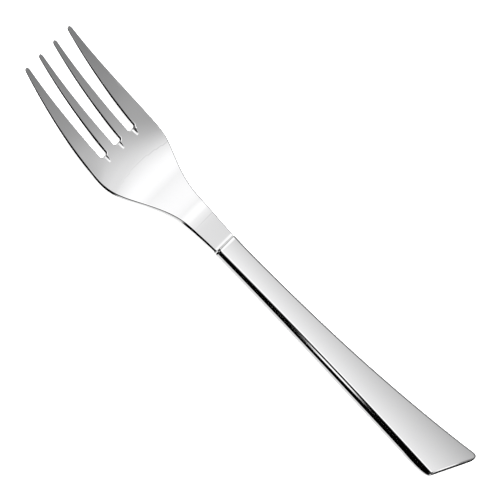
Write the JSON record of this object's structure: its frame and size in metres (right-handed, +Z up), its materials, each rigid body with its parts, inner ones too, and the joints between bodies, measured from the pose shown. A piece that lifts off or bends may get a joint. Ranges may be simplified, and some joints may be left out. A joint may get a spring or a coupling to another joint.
{
  "type": "steak fork",
  "caption": "Mirror-polished steel table fork with a dished forged head and a hollow, flat-topped handle that flares to a slanted end.",
  "frame": {"origin": "on the table, under the middle of the fork's length and width, with the fork lying face up", "axes": "+X along the fork towards the tine tips, +Z up from the table, +Y to the side of the handle's short corner"},
  "size_m": [0.202, 0.0304, 0.0181],
  "materials": {
    "polished_steel": "mirror-polished stainless steel",
    "braze_filler": "polished flush with the steel",
    "cutlers_cement": "dull filled resin"
  },
  "bodies": {
    "root": {"fork_head": "polished_steel", "handle_upper_shell": "polished_steel", "handle_lower_shell": "polished_steel", "shell_seam_braze": "braze_filler", "neck_braze": "braze_filler", "tang_cement": "cutlers_cement"}
  },
  "joints": []
}
